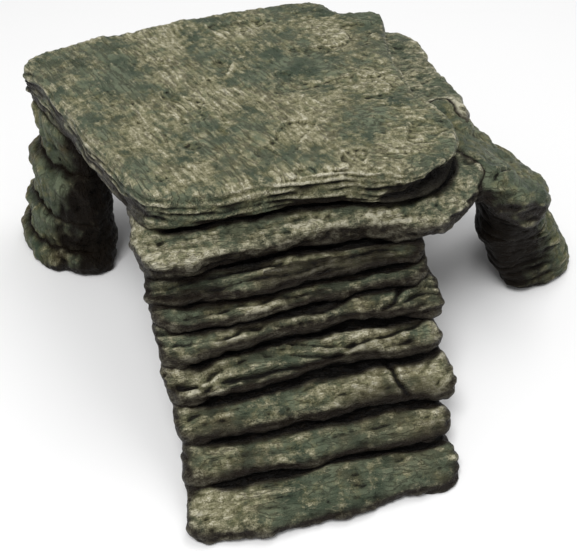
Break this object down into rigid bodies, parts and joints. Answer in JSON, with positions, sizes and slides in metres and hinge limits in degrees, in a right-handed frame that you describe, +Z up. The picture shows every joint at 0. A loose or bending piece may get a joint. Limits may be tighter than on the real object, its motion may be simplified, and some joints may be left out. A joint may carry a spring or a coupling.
{
  "type": "resin cave ornament",
  "caption": "Free-standing shale-like resin cave: a flat basking deck on two boulder piers, with a stepped ramp of overlapping ledges up to it and an open cave underneath.",
  "frame": {"origin": "on the ground, at the centre of the footprint's bounding box", "axes": "+Z up; -Y the way the ramp runs down, towards the front; +X towards the leaning right pier"},
  "size_m": [0.2254, 0.2084, 0.078],
  "materials": {
    "weathered_resin": "satin",
    "shaded_resin": "satin"
  },
  "bodies": {
    "root": {"deck_slab": "weathered_resin", "second_slab": "weathered_resin", "shoulder_stone": "weathered_resin", "ramp_foot": "weathered_resin", "ramp_ledge_1": "weathered_resin", "ramp_ledge_2": "weathered_resin", "ramp_ledge_3": "weathered_resin", "ramp_ledge_4": "weathered_resin", "ramp_ledge_5": "weathered_resin", "ramp_ledge_6": "weathered_resin", "left_pier_foot": "shaded_resin", "left_pier_lower": "shaded_resin", "left_pier_middle": "shaded_resin", "left_pier_cap": "shaded_resin", "right_pier_foot": "shaded_resin", "right_pier_upper": "shaded_resin"}
  },
  "joints": []
}
